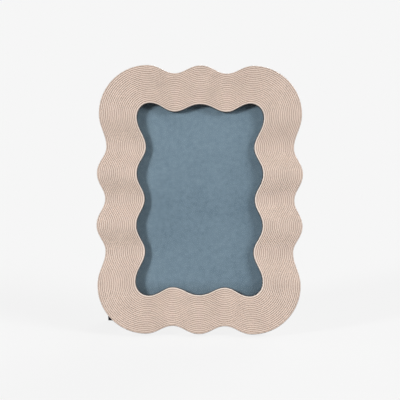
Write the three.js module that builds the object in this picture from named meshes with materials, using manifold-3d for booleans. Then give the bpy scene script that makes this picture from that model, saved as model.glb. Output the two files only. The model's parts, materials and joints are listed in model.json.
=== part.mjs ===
// Curvy standing photo frame: a ribbed wavy moulding with glass, print and a two-way easel back.
// Millimetres, +Z up. The frame faces -Y, leans back and stands on the plane z = 0.

import * as THREE from "three";
import { mergeVertices } from "three/addons/utils/BufferGeometryUtils.js";
import Module from "manifold-3d";

// Print and what lies behind the front lip, from front to back
const printWidth = 101.6;
const printHeight = 152.4;
const glassThickness = 2;
const printThickness = 0.4;
const packingThickness = 2.4;
const boardThickness = 3;
const boardLap = 3.5; // board beyond the glass on every side
const boardCorner = 2; // corner radius of the board
const rebateFit = 0.6; // play around glass and board in their rebates
const seatGap = 0.3; // play between pieces that lie on one another

// Moulding, seen from the front
const sideLap = 2.25; // moulding over the print at the sides
const endLap = 2.95; // moulding over the print at top and bottom
const sideBand = 30.45;
const endBand = 29.75;
const lipDepth = 6; // front face at its crests to the ledge that holds the glass
const sightDraft = 0.5; // the sight wall closes in this far down to the ledge

// Waves of the outline and of the face, the same pitch on every side
const wavePitch = 40;
const sideValley = 7; // valleys next to the corners, on the long sides
const middleValley = 6.4; // valley in the middle of a long side
const endValley = 6.1; // valleys of the top and bottom
const valleyDip = 2.4; // the face also lies this much lower at the valleys
const cornerTuck = 1.1; // corners lie this far inside the side crests
const cornerReachAcross = 37.2;
const cornerReachUp = 37;
const sightSideValley = 6.85; // the same three valleys and the corner at the sight edge
const sightMiddleValley = 6.2;
const sightEndValley = 5.8;
const sightCornerFlare = 0.3; // sight corners reach past the side crests
const sightCornerRise = 0.7; // and past the end crests
const sightReachAcross = 10;
const sightReachUp = 10;
const crestHandle = 0.43; // curve handles, as shares of a span
const valleyHandle = 0.37;
const cornerHandle = 0.545;

// Ribs that run round the whole band
const ribCount = 20;
const ribDepth = 0.6;
const edgeDrop = 1.2; // the outermost rib rolls over this far to the side wall
const beadWidth = 1.6; // plain bead at the sight edge
const beadEase = 0.4; // its rounding

// Turn buttons and their screws
const buttonThickness = 1.2;
const buttonTail = 5; // radius round the pivot
const buttonNose = 3.2; // radius of the nose
const buttonReach = 13; // pivot to tip
const pivotInset = 7; // pivot outside the edge of the board rebate
const screwRadius = 1.4;
const screwLength = 8;
const screwPoint = 2;
const screwHeadRadius = 3;
const screwHeadHeight = 1.8;
const boreFit = 0.3; // radial play round screws, rivets and the hinge pin

// Stand
const leanDegrees = 11; // the same upright and lying on its long side
const footBehind = 46; // tip of the strut behind the back of the frame
const strutThickness = 3;
const strutTopWidth = 28;
const strutFootWidth = 34;
const strutTopCorner = 4;
const hingeRight = 6; // hinge from the middle of the board
const hingeUp = 8;

// Hinge of the strut
const hingeWidth = 24;
const leafLength = 14;
const leafThickness = 0.8;
const outerKnuckle = 6.5;
const knuckleGap = 0.4;
const foldGap = 0.6; // between the folded strut and the board
const heelLap = 3; // stop heel over the board leaf
const heelInset = 1; // heel narrower than its knuckle at each end
const pinHeadThickness = 0.8;
const pinHeadLip = 0.6; // head of the pin beyond its shank
const rivetRadius = 1.2;
const rivetHeadRadius = 2.2;
const rivetHeadHeight = 0.9;
const rivetEnd = 5; // rivets from the free edge of a leaf
const rivetSide = 5; // and from its side edges

// Fineness of the facets
const waveSteps = 4;
const cornerSteps = 8;
const roundSteps = 12;
const domeSteps = 3;
const overcut = 1; // cutting tools stand out of the face they cut
const weld = 1e-4; // vertices closer than this are one

// Sizes that follow
const sightWidth = printWidth - 2 * sideLap;
const sightHeight = printHeight - 2 * endLap;
const frameWidth = sightWidth + 2 * sideBand;
const frameHeight = sightHeight + 2 * endBand;
const boardSeat = boardThickness + seatGap;
const packingBack = boardSeat;
const printBack = packingBack + packingThickness + seatGap;
const glassBack = printBack + printThickness + seatGap;
const ledgeHeight = glassBack + glassThickness + seatGap;
const frameDepth = ledgeHeight + lipDepth;
const boardWidth = printWidth + 2 * boardLap;
const boardHeight = printHeight + 2 * boardLap;
const rebateWidth = boardWidth + 2 * rebateFit;
const rebateHeight = boardHeight + 2 * rebateFit;
const knuckleRadius = (strutThickness + foldGap + leafThickness) / 2;
const pinRadius = knuckleRadius - leafThickness - boreFit;
const hingeBehind = seatGap + knuckleRadius;
const middleKnuckle = hingeWidth - 2 * (outerKnuckle + knuckleGap);
const rivetOffset = leafLength - rivetEnd;
const rivetPlaces = [rivetSide - hingeWidth / 2, hingeWidth / 2 - rivetSide];
const leanAngle = THREE.MathUtils.degToRad(leanDegrees);

// Tip of the strut: where the planes of both standing positions meet
const tipLeft = frameWidth / 2 - footBehind * Math.tan(leanAngle);
const tipDown = frameHeight / 2 - footBehind * Math.tan(leanAngle);
const strutTurn = Math.atan2(hingeRight + tipLeft, hingeUp + tipDown);
const strutRun = Math.hypot(hingeRight + tipLeft, hingeUp + tipDown);
const strutDrop = footBehind - hingeBehind;
const strutLength = Math.hypot(strutRun, strutDrop);
const strutBack = leafThickness + seatGap - knuckleRadius;
const strutMiddle = strutBack + strutThickness / 2;
const openAngle = Math.atan2(strutDrop, strutRun) + Math.asin(strutMiddle / strutLength);

const wasm = await Module();
wasm.setup();

// Solids from closed geometry, and back
function solid(geometry) {
  const bare = geometry.clone();
  bare.deleteAttribute("normal");
  bare.deleteAttribute("uv");
  const merged = mergeVertices(bare, weld);
  return new wasm.Manifold(
    new wasm.Mesh({
      numProp: 3,
      vertProperties: merged.attributes.position.array,
      triVerts: new Uint32Array(merged.index.array),
    }),
  );
}

function geometryOf(body) {
  const mesh = body.getMesh();
  const geometry = new THREE.BufferGeometry();
  geometry.setAttribute("position", new THREE.BufferAttribute(mesh.vertProperties, 3));
  geometry.setIndex(new THREE.BufferAttribute(mesh.triVerts, 1));
  geometry.computeVertexNormals();
  return geometry;
}

function join(base, ...others) {
  return geometryOf(others.reduce((body, other) => body.add(solid(other)), solid(base)));
}

function cut(base, ...tools) {
  return geometryOf(tools.reduce((body, tool) => body.subtract(solid(tool)), solid(base)));
}

function finish(color, roughness, metalness = 0) {
  return new THREE.MeshStandardMaterial({ color, roughness, metalness });
}

function piece(name, geometry, material) {
  const mesh = new THREE.Mesh(geometry, material);
  mesh.name = name;
  return mesh;
}

// A box between two heights, centred on the picture
function slab(width, height, low, high) {
  return new THREE.BoxGeometry(width, height, high - low).translate(0, 0, (low + high) / 2);
}

// A round bar along z between two heights
function bar(radius, x, y, low, high) {
  const geometry = new THREE.CylinderGeometry(radius, radius, high - low, roundSteps);
  return geometry.rotateX(Math.PI / 2).translate(x, y, (low + high) / 2);
}

// A domed fastener along z: the head lies below z = 0 and the shank above it
function fastener(headRadius, headHeight, shankRadius, shankLength, pointLength) {
  const rise = (headRadius * headRadius + headHeight * headHeight) / (2 * headHeight);
  const halfAngle = Math.asin(headRadius / rise);
  const profile = [];
  for (let step = 0; step <= domeSteps; step++) {
    const angle = (halfAngle * step) / domeSteps;
    profile.push(new THREE.Vector2(rise * Math.sin(angle), rise - headHeight - rise * Math.cos(angle)));
  }
  profile.push(new THREE.Vector2(shankRadius, 0));
  profile.push(new THREE.Vector2(shankRadius, shankLength - pointLength));
  profile.push(new THREE.Vector2(0, shankLength));
  return new THREE.LatheGeometry(profile, roundSteps).rotateX(Math.PI / 2);
}

// The two edges that the ribs are blended between
const outerEdge = {
  x: frameWidth / 2,
  y: frameHeight / 2,
  sideValley,
  middleValley,
  endValley,
  tuck: cornerTuck,
  rise: 0,
  reachAcross: cornerReachAcross,
  reachUp: cornerReachUp,
};
const sightEdge = {
  x: sightWidth / 2,
  y: sightHeight / 2,
  sideValley: sightSideValley,
  middleValley: sightMiddleValley,
  endValley: sightEndValley,
  tuck: -sightCornerFlare,
  rise: sightCornerRise,
  reachAcross: sightReachAcross,
  reachUp: sightReachUp,
};

function crest(x, y) {
  return { point: new THREE.Vector3(x, y, 0), handle: crestHandle };
}

function valley(x, y) {
  return { point: new THREE.Vector3(x, y, -valleyDip), handle: valleyHandle };
}

// A quarter of an edge, from the middle of the right side to the middle of the top; z is the dip of the face
function quarter(edge) {
  const turns = [
    valley(edge.x - edge.middleValley, 0),
    crest(edge.x, wavePitch / 2),
    valley(edge.x - edge.sideValley, wavePitch),
    crest(edge.x - edge.tuck, edge.y - edge.reachUp),
    crest(edge.x - edge.tuck - edge.reachAcross, edge.y + edge.rise),
    valley(wavePitch / 2, edge.y - edge.endValley),
    crest(0, edge.y),
  ];
  const corner = 3;
  const points = [turns[0].point];
  for (let span = 0; span < turns.length - 1; span++) {
    const start = turns[span].point;
    const end = turns[span + 1].point;
    const upward = new THREE.Vector3(0, end.y - start.y, 0);
    const across = new THREE.Vector3(end.x - start.x, 0, 0);
    const leaving = span === corner ? cornerHandle : turns[span].handle;
    const arriving = span === corner ? cornerHandle : turns[span + 1].handle;
    const leave = start.clone().addScaledVector(span <= corner ? upward : across, leaving);
    const arrive = end.clone().addScaledVector(span < corner ? upward : across, -arriving);
    const curve = new THREE.CubicBezierCurve3(start, leave, arrive, end);
    points.push(...curve.getPoints(span === corner ? cornerSteps : waveSteps).slice(1));
  }
  return points;
}

// The whole edge, anticlockwise from the middle of the right side
function wavyLoop(edge) {
  const first = quarter(edge);
  const second = first.map((p) => new THREE.Vector3(-p.x, p.y, p.z)).reverse();
  const half = [...first, ...second.slice(1)];
  const other = half.map((p) => new THREE.Vector3(-p.x, -p.y, p.z));
  return [...half.slice(0, -1), ...other.slice(0, -1)];
}

// Section of the band: share of the way from the outer edge to the sight edge, height, and 1 where it dips
function bandSection() {
  const beadShare = beadWidth / endBand;
  const easeShare = beadEase / endBand;
  const wallShare = 1 + sightDraft / endBand;
  const ribShare = (1 - beadShare) / ribCount;
  const section = [
    [0, 0, 0],
    [0, frameDepth - edgeDrop, 1],
  ];
  for (let rib = 0; rib < ribCount; rib++) {
    section.push([(rib + 0.5) * ribShare, frameDepth, 1]);
    section.push([(rib + 1) * ribShare, frameDepth - ribDepth, 1]);
  }
  section.push([1 - beadShare + easeShare, frameDepth, 1]);
  section.push([1 - easeShare, frameDepth, 1]);
  section.push([1, frameDepth - beadEase, 1]);
  section.push([wallShare, ledgeHeight, 0]);
  section.push([wallShare, 0, 0]);
  return section;
}

// The band swept round the two edges as one closed ring
function wavyRing() {
  const outer = wavyLoop(outerEdge);
  const sight = wavyLoop(sightEdge);
  const section = bandSection();
  const rows = outer.length;
  const columns = section.length;
  const positions = [];
  const faces = [];
  for (let row = 0; row < rows; row++) {
    for (const [share, height, dips] of section) {
      const point = outer[row].clone().lerp(sight[row], share);
      positions.push(point.x, point.y, height + dips * point.z);
    }
    const next = (row + 1) % rows;
    for (let column = 0; column < columns; column++) {
      const beside = (column + 1) % columns;
      const a = row * columns + column;
      const b = next * columns + column;
      const c = next * columns + beside;
      const d = row * columns + beside;
      faces.push(a, b, c, a, c, d);
    }
  }
  const geometry = new THREE.BufferGeometry();
  geometry.setAttribute("position", new THREE.Float32BufferAttribute(positions, 3));
  geometry.setIndex(faces);
  return geometry;
}

// Pivots of the turn buttons: place, and the turn that points the nose at the board
const pivotSide = rebateWidth / 2 + pivotInset;
const pivotEnd = rebateHeight / 2 + pivotInset;
const pivots = [
  { side: "top", x: 0, y: pivotEnd, turn: Math.PI },
  { side: "left", x: -pivotSide, y: 0, turn: -Math.PI / 2 },
  { side: "bottom", x: 0, y: -pivotEnd, turn: 0 },
  { side: "right", x: pivotSide, y: 0, turn: Math.PI / 2 },
];

// Ring with its rebates for glass and board, and pilot holes for the button screws
function frontFrame() {
  const glassRebate = slab(printWidth + 2 * rebateFit, printHeight + 2 * rebateFit, -overcut, ledgeHeight);
  const boardRebate = slab(rebateWidth, rebateHeight, -overcut, boardSeat);
  const pilots = pivots.map(({ x, y }) => bar(screwRadius + boreFit, x, y, -overcut, screwLength));
  return cut(wavyRing(), glassRebate, boardRebate, ...pilots);
}

function backboard() {
  const shape = new THREE.Shape();
  const right = boardWidth / 2 - boardCorner;
  const up = boardHeight / 2 - boardCorner;
  shape.absarc(right, up, boardCorner, 0, Math.PI / 2, false);
  shape.absarc(-right, up, boardCorner, Math.PI / 2, Math.PI, false);
  shape.absarc(-right, -up, boardCorner, Math.PI, 1.5 * Math.PI, false);
  shape.absarc(right, -up, boardCorner, 1.5 * Math.PI, 2 * Math.PI, false);
  const sheet = new THREE.ExtrudeGeometry(shape, {
    depth: boardThickness,
    bevelEnabled: false,
    curveSegments: 4,
  });
  const holes = rivetPlaces.map((x) =>
    bar(rivetRadius + boreFit, x, rivetOffset, -overcut, boardThickness + overcut)
      .rotateZ(-strutTurn)
      .translate(hingeRight, hingeUp, 0),
  );
  return cut(sheet, ...holes);
}

// Teardrop plate with its nose towards +y
function turnButton() {
  const noseCentre = buttonReach - buttonNose;
  const slope = Math.asin((buttonTail - buttonNose) / noseCentre);
  const shape = new THREE.Shape();
  shape.absarc(0, 0, buttonTail, Math.PI - slope, 2 * Math.PI + slope, false);
  shape.absarc(0, noseCentre, buttonNose, slope, Math.PI - slope, false);
  const hole = new THREE.Path();
  hole.absarc(0, 0, screwRadius + boreFit, 0, 2 * Math.PI, true);
  shape.holes.push(hole);
  return new THREE.ExtrudeGeometry(shape, {
    depth: buttonThickness,
    bevelEnabled: false,
    curveSegments: roundSteps,
  });
}

// Extrudes a (y, z) profile along the hinge pin, centred on x = middle
function alongPin(shape, width, middle) {
  const geometry = new THREE.ExtrudeGeometry(shape, {
    depth: width,
    bevelEnabled: false,
    curveSegments: roundSteps,
  });
  const axes = new THREE.Matrix4().makeBasis(
    new THREE.Vector3(0, 1, 0),
    new THREE.Vector3(0, 0, 1),
    new THREE.Vector3(1, 0, 0),
  );
  return geometry.applyMatrix4(axes).translate(middle - width / 2, 0, 0);
}

// Hinge leaf of sheet steel: its plate lies on the side -z and runs to -y, its knuckles curl round the pin
function hingeLeaf(knuckles) {
  const clear = knuckleRadius + knuckleGap;
  const curl = new THREE.Shape();
  curl.moveTo(-clear - leafThickness, -knuckleRadius);
  curl.lineTo(0, -knuckleRadius);
  const inside = Math.asin((knuckleRadius - leafThickness) / knuckleRadius);
  curl.absarc(0, 0, knuckleRadius, -Math.PI / 2, Math.PI + inside, false);
  curl.lineTo(-clear - leafThickness, leafThickness - knuckleRadius);
  const bore = new THREE.Path();
  bore.absarc(0, 0, pinRadius + boreFit, 0, 2 * Math.PI, true);
  curl.holes.push(bore);
  const plate = new THREE.BoxGeometry(hingeWidth, leafLength - clear, leafThickness);
  plate.translate(0, -(leafLength + clear) / 2, leafThickness / 2 - knuckleRadius);
  const curls = knuckles.map(({ width, middle }) => alongPin(curl, width, middle));
  const holes = rivetPlaces.map((x) =>
    bar(rivetRadius + boreFit, x, -rivetOffset, -knuckleRadius - overcut, 0),
  );
  return cut(join(plate, ...curls), ...holes);
}

function boardLeaf() {
  const middle = (hingeWidth - outerKnuckle) / 2;
  return hingeLeaf([
    { width: outerKnuckle, middle },
    { width: outerKnuckle, middle: -middle },
  ]);
}

// The heel behind the knuckle meets the board leaf when the strut is open, and so stops it
function strutLeaf() {
  const leaf = hingeLeaf([{ width: middleKnuckle, middle: 0 }]);
  const root = knuckleRadius - leafThickness / 2;
  const tip = knuckleRadius + knuckleGap + heelLap;
  const heel = new THREE.BoxGeometry(middleKnuckle - 2 * heelInset, tip - root, leafThickness);
  const face = knuckleRadius - leafThickness - seatGap;
  heel.translate(0, (tip + root) / 2, face - leafThickness / 2).rotateX(-openAngle);
  return join(leaf, heel);
}

function hingePin() {
  const end = hingeWidth / 2 + seatGap;
  const head = pinRadius + pinHeadLip;
  const profile = [
    [0, -end - pinHeadThickness],
    [head, -end - pinHeadThickness],
    [head, -end],
    [pinRadius, -end],
    [pinRadius, end],
    [head, end],
    [head, end + pinHeadThickness],
    [0, end + pinHeadThickness],
  ].map(([x, y]) => new THREE.Vector2(x, y));
  return new THREE.LatheGeometry(profile, roundSteps).rotateZ(-Math.PI / 2);
}

// A table as a block under a plane through the rear edge that the frame stands on
function tableBlock() {
  const size = 4 * (frameWidth + frameHeight);
  return new THREE.BoxGeometry(size, size, size).translate(0, -size / 2, 0);
}

// Strut on the hinge's axes, pointing to -y, trimmed square to the table in both standing positions
function easelStrut(toFrame) {
  const top = -knuckleRadius - foldGap;
  const end = -strutLength - strutFootWidth;
  const shape = new THREE.Shape();
  shape.moveTo(-strutFootWidth / 2, end);
  shape.lineTo(strutFootWidth / 2, end);
  shape.lineTo(strutTopWidth / 2, top - strutTopCorner);
  shape.quadraticCurveTo(strutTopWidth / 2, top, strutTopWidth / 2 - strutTopCorner, top);
  shape.lineTo(strutTopCorner - strutTopWidth / 2, top);
  shape.quadraticCurveTo(-strutTopWidth / 2, top, -strutTopWidth / 2, top - strutTopCorner);
  const strip = new THREE.ExtrudeGeometry(shape, {
    depth: strutThickness,
    bevelEnabled: false,
    curveSegments: 4,
  }).translate(0, 0, strutBack);
  const fromFrame = toFrame.clone().invert();
  const upright = tableBlock().rotateX(leanAngle).translate(0, -frameHeight / 2, 0);
  const lying = tableBlock().rotateZ(-Math.PI / 2).rotateY(-leanAngle).translate(-frameWidth / 2, 0, 0);
  const holes = rivetPlaces.map((x) =>
    bar(rivetRadius + boreFit, x, -rivetOffset, strutBack - overcut, strutBack + strutThickness + overcut),
  );
  return cut(strip, upright.applyMatrix4(fromFrame), lying.applyMatrix4(fromFrame), ...holes);
}

// Finishes
const moulding = finish(0xd6c1b2, 0.62);
const clearGlass = finish(0xdde6e6, 0.05);
const printPaper = finish(0x718694, 0.5);
const greyCard = finish(0xa79d8f, 0.9);
const blackBoard = finish(0x18181a, 0.95);
const platedSteel = finish(0xb8bbbe, 0.3, 1);

// Frame on its own axes: x across, y up the picture, z towards the viewer, back face at z = 0
const frameAxes = new THREE.Group();
frameAxes.position.y = frameHeight / 2;
const glassPane = slab(printWidth, printHeight, glassBack, glassBack + glassThickness);
const printCard = slab(printWidth, printHeight, printBack, printBack + printThickness);
const packingCard = slab(printWidth, printHeight, packingBack, packingBack + packingThickness);
frameAxes.add(piece("front_frame", frontFrame(), moulding));
frameAxes.add(piece("glass_pane", glassPane, clearGlass));
frameAxes.add(piece("insert_card", printCard, printPaper));
frameAxes.add(piece("packing_card", packingCard, greyCard));
frameAxes.add(piece("backboard", backboard(), blackBoard));
for (const { side, x, y, turn } of pivots) {
  const button = piece("turn_button_" + side, turnButton(), platedSteel);
  button.position.set(x, y, -seatGap - buttonThickness);
  button.rotation.z = turn;
  const screwShape = fastener(screwHeadRadius, screwHeadHeight, screwRadius, screwLength, screwPoint);
  const screw = piece("button_screw_" + side, screwShape, platedSteel);
  screw.position.set(x, y, -buttonThickness - 2 * seatGap);
  frameAxes.add(button, screw);
}

// Hinge on its own axes: x along the pin, y up the strut, z as the frame's
const hingeAxes = new THREE.Group();
hingeAxes.position.set(hingeRight, hingeUp, -hingeBehind);
hingeAxes.rotation.z = -strutTurn;
const boardLeafMesh = piece("hinge_board_leaf", boardLeaf(), platedSteel);
boardLeafMesh.rotation.x = Math.PI;
hingeAxes.add(boardLeafMesh, piece("hinge_pin", hingePin(), platedSteel));
frameAxes.add(hingeAxes);

// Strut swung out to its stop
const strutSwing = new THREE.Group();
strutSwing.rotation.x = openAngle;
hingeAxes.add(strutSwing);
frameAxes.updateMatrixWorld(true);
const frameInverse = frameAxes.matrixWorld.clone().invert();
const strutToFrame = frameInverse.multiply(strutSwing.matrixWorld);
strutSwing.add(piece("easel_strut", easelStrut(strutToFrame), blackBoard));
strutSwing.add(piece("hinge_strut_leaf", strutLeaf(), platedSteel));

// Rivets of both leaves, heads to the back
const rivetGrip = leafThickness + 2 * seatGap;
rivetPlaces.forEach((x, index) => {
  const boardShape = fastener(rivetHeadRadius, rivetHeadHeight, rivetRadius, boardThickness + rivetGrip, 0);
  const boardRivet = piece("board_rivet_" + (index + 1), boardShape, platedSteel);
  boardRivet.position.set(x, rivetOffset, knuckleRadius - leafThickness - seatGap);
  hingeAxes.add(boardRivet);
  const strutShape = fastener(rivetHeadRadius, rivetHeadHeight, rivetRadius, strutThickness + rivetGrip, 0);
  const strutRivet = piece("strut_rivet_" + (index + 1), strutShape, platedSteel);
  strutRivet.position.set(x, -rivetOffset, -knuckleRadius - seatGap);
  strutSwing.add(strutRivet);
});

// Stood on its rear bottom edge and the strut, with the origin under the middle of the whole
const standing = new THREE.Group();
standing.rotation.x = Math.PI / 2 - leanAngle;
standing.add(frameAxes);
const photoFrame = new THREE.Group();
photoFrame.name = "curvy_photo_frame";
photoFrame.add(standing);
const extent = new THREE.Box3().setFromObject(photoFrame, true);
const middle = extent.getCenter(new THREE.Vector3());
standing.position.set(-middle.x, -middle.y, -extent.min.z);
photoFrame.updateMatrixWorld(true);

export default photoFrame;
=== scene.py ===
import json
import math

import bmesh
import bpy
from mathutils import Matrix, Vector


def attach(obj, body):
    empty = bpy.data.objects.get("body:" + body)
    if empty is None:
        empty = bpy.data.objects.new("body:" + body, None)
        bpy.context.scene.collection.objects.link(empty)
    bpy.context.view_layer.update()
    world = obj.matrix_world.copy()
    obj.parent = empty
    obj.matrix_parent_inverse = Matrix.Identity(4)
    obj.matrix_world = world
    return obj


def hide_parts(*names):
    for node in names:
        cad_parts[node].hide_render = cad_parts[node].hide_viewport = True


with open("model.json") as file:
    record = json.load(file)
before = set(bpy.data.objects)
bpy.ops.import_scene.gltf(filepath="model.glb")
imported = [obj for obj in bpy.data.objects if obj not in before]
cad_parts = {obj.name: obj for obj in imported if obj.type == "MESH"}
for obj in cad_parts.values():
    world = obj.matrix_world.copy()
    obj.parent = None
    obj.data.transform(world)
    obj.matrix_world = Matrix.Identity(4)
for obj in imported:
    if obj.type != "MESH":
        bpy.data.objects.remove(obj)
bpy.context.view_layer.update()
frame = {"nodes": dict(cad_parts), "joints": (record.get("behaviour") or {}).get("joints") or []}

mm = 0.001
weld = 1e-6  # vertices closer than this are one
sharpAngle = math.radians(38)  # edges that turn further are shaded sharp
bevelAngle = math.radians(50)  # edges that turn further are eased
flatAngle = math.radians(1)  # faces that turn less are one
noiseSpan = {"From Min": 0.3, "From Max": 0.7}  # where most values of a noise texture lie
print("frame loaded:", len(frame["nodes"]), "nodes")


# Box of a CAD node along the given axes
def boxOn(axes, node):
    back = axes.inverted()
    points = [back @ vertex.co for vertex in frame["nodes"][node].data.vertices]
    low = Vector([min(point[axis] for point in points) for axis in range(3)])
    high = Vector([max(point[axis] for point in points) for axis in range(3)])
    return low, high


def axesFrom(x, y, z, origin=(0, 0, 0)):
    return Matrix.Translation(origin) @ Matrix((x, y, z)).transposed().to_4x4()


# Axes of the leaning frame: x across, y up the picture, z to the viewer, rear face at z = 0
joints = {joint["name"]: joint for joint in frame["joints"]}
sides = ("top", "left", "bottom", "right")
pivots = {side: Vector(joints[side + "_button_turn"]["pos_m"]) for side in sides}
facing = -Vector(joints["top_button_turn"]["axis"]).normalized()
upward = (pivots["top"] - pivots["bottom"]).normalized()
across = upward.cross(facing)
leaning = axesFrom(across, upward, facing)
frameLow, frameHigh = boxOn(leaning, "front_frame")
frameMiddle = (frameLow + frameHigh) / 2
standing = leaning @ Matrix.Translation((frameMiddle.x, frameMiddle.y, frameLow.z))
frameSize = frameHigh - frameLow

# Hinge axes: x along the pin, y up the strut; the strut's own axes swing with it
hinge = joints["strut_fold"]
pinAlong = -Vector(hinge["axis"]).normalized()
hingeAxes = axesFrom(pinAlong, facing.cross(pinAlong), facing, hinge["pos_m"])
strutFace = max(frame["nodes"]["easel_strut"].data.polygons, key=lambda face: face.area)
strutFacing = strutFace.normal * math.copysign(1, strutFace.normal.dot(facing))
strutAxes = axesFrom(pinAlong, strutFacing.cross(pinAlong), strutFacing, hinge["pos_m"])
boardLeafAxes = hingeAxes @ Matrix.Rotation(math.pi, 4, "X")


def linear(colour):
    channels = [int(colour[digit:digit + 2], 16) / 255 for digit in (1, 3, 5)]
    return [c / 12.92 if c <= 0.04045 else ((c + 0.055) / 1.055) ** 2.4 for c in channels] + [1]


# Texture scale for features of this size
def perSize(millimetres):
    return 1 / (millimetres * mm)


def addNode(tree, kind, inputs=None, **settings):
    made = tree.nodes.new(kind)
    for name, value in settings.items():
        setattr(made, name, value)
    for key, value in (inputs or {}).items():
        if isinstance(value, bpy.types.NodeSocket):
            tree.links.new(value, made.inputs[key])
        else:
            made.inputs[key].default_value = value
    return made.outputs


def newMaterial(name):
    material = bpy.data.materials.new(name)
    material.use_nodes = True
    material.node_tree.nodes.clear()
    return material, material.node_tree


# Cast polyresin with a sprayed satin lacquer: soft sheen on the crests, painted shade darkening the grooves,
# a painted highlight on the bead at the sight edge, and painted shade as a dark colour in the recess (mm)
resinValues = {
    "crest": "#E1CEC1", "grooveShade": "#AB9382", "rim": "#F2E8E1", "recess": "#38302C", "grooveShadeEnd": 0.7,
    "cloud": 14, "cloudShade": (0.95, 1.04), "grain": 0.4, "grainDepth": 0.03, "grainStrength": 0.35,
    "roughness": (0.46, 0.6), "ior": 1.5, "specular": 0.35,
}


def makeResin():
    material, tree = newMaterial("satinCastResin")
    spot = addNode(tree, "ShaderNodeTexCoord")["Object"]
    crest = addNode(tree, "ShaderNodeAttribute", attribute_name="crest")["Fac"]
    recess = addNode(tree, "ShaderNodeAttribute", attribute_name="recess")["Fac"]
    cloud = addNode(tree, "ShaderNodeTexNoise", {
        "Vector": spot, "Scale": perSize(resinValues["cloud"]), "Detail": 3})[0]
    grain = addNode(tree, "ShaderNodeTexNoise", {
        "Vector": spot, "Scale": perSize(resinValues["grain"]), "Detail": 2})[0]
    # Painted shade: below the set crest mask value the colour runs down to the groove shade colour at the
    # groove bottoms
    paintedLight = addNode(tree, "ShaderNodeMapRange", {
        "Value": crest, "From Max": resinValues["grooveShadeEnd"]}, interpolation_type="SMOOTHSTEP")[0]
    grooveShaded = addNode(tree, "ShaderNodeMix", {
        0: paintedLight, 6: linear(resinValues["grooveShade"]), 7: linear(resinValues["crest"])}, data_type="RGBA")[2]
    # Painted highlight: where the crest mask passes 1, on the bead at the sight edge, the colour is lifted
    # towards the pale rim colour
    wearAndHighlight = addNode(tree, "ShaderNodeMapRange", {"Value": crest, "From Min": 1.0, "From Max": 2.0})[0]
    rimHighlighted = addNode(tree, "ShaderNodeMix", {
        0: wearAndHighlight, 6: grooveShaded, 7: linear(resinValues["rim"])}, data_type="RGBA")[2]
    darker, paler = resinValues["cloudShade"]
    shade = addNode(tree, "ShaderNodeMapRange", {
        "Value": cloud, **noiseSpan, "To Min": darker, "To Max": paler})[0]
    clouded = addNode(tree, "ShaderNodeMix", {
        0: 1.0, 6: rimHighlighted, 7: shade}, data_type="RGBA", blend_type="MULTIPLY")[2]
    # Painted shade: faces marked as recess (sight wall, ledge and rebates) take the dark recess colour
    colour = addNode(tree, "ShaderNodeMix", {
        0: recess, 6: clouded, 7: linear(resinValues["recess"])}, data_type="RGBA")[2]
    lowRough, highRough = resinValues["roughness"]
    rough = addNode(tree, "ShaderNodeMapRange", {
        "Value": grain, **noiseSpan, "To Min": lowRough, "To Max": highRough})[0]
    bump = addNode(tree, "ShaderNodeBump", {
        "Height": grain, "Strength": resinValues["grainStrength"],
        "Distance": resinValues["grainDepth"] * mm})[0]
    surface = addNode(tree, "ShaderNodeBsdfPrincipled", {
        "Base Color": colour, "Roughness": rough, "Normal": bump,
        "IOR": resinValues["ior"], "Specular IOR Level": resinValues["specular"]})[0]
    addNode(tree, "ShaderNodeOutputMaterial", {0: surface})
    return material


# Float glass: clear, a mirror only at a slant, with a faint grey-green cast and a slow ripple (mm)
glassValues = {
    "tint": "#FAFCFB", "roughness": 0.02, "ripple": 60, "rippleDepth": 0.2, "rippleStrength": 0.05,
    "ior": 1.14,  # lower than that of real glass, for a quieter mirror
}


def makeGlass():
    material, tree = newMaterial("clearPictureGlass")
    spot = addNode(tree, "ShaderNodeTexCoord")["Object"]
    ripple = addNode(tree, "ShaderNodeTexNoise", {
        "Vector": spot, "Scale": perSize(glassValues["ripple"]), "Detail": 1})[0]
    bump = addNode(tree, "ShaderNodeBump", {
        "Height": ripple, "Strength": glassValues["rippleStrength"],
        "Distance": glassValues["rippleDepth"] * mm})[0]
    mirror = addNode(tree, "ShaderNodeFresnel", {"IOR": glassValues["ior"], "Normal": bump})[0]
    through = addNode(tree, "ShaderNodeBsdfTransparent", {"Color": linear(glassValues["tint"])})[0]
    gloss = addNode(tree, "ShaderNodeBsdfGlossy", {"Roughness": glassValues["roughness"], "Normal": bump})[0]
    surface = addNode(tree, "ShaderNodeMixShader", {0: mirror, 1: through, 2: gloss})[0]
    addNode(tree, "ShaderNodeOutputMaterial", {0: surface})
    return material


# Uncoated print paper with a solid blue-grey ink: wide soft clouds, paler to the left, with a painted shadow
# at its foot, with a finer mottle and paper tooth (mm)
paperValues = {
    "dark": "#728495", "pale": "#8799AA", "cloud": 44, "drift": (700, 950, 1410),
    "mottle": 3.2, "mottleShare": 0.55, "tooth": 0.7, "toothDepth": 0.03, "toothStrength": 0.3,
    "fadeHalf": 48, "fade": 0.09, "lowEdge": 28, "lowFade": 14, "lowShadow": 0.58,
    "roughness": 0.75, "specular": 0.2,
}


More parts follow.
